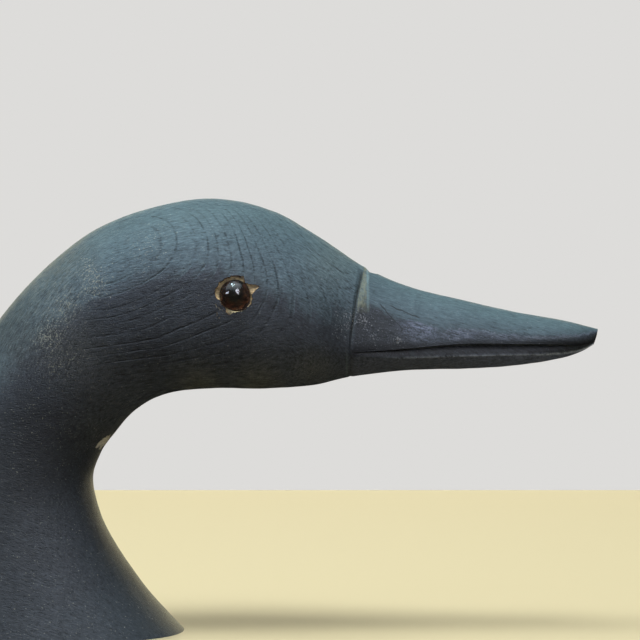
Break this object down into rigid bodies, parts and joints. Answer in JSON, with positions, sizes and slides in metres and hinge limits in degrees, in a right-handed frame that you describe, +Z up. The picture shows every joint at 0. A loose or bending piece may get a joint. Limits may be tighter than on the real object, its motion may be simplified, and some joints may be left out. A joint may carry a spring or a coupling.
{
  "type": "swan decoy head",
  "caption": "Carved wooden swan decoy head on a curved neck, painted dark slate, with a long grooved bill and glass eyes; cut flat below to stand as a bust.",
  "frame": {"origin": "middle of the flat sawn underside of the neck", "axes": "+X along the bill, towards its tip; +Y to the bird's left; +Z up, out of the underside through the crown"},
  "size_m": [0.2744, 0.0798, 0.1727],
  "materials": {
    "painted_wood": "matte",
    "eye_glass": "gloss"
  },
  "bodies": {
    "root": {"carved_head_and_neck": "painted_wood", "glass_eye_right": "eye_glass", "glass_eye_left": "eye_glass"}
  },
  "joints": []
}
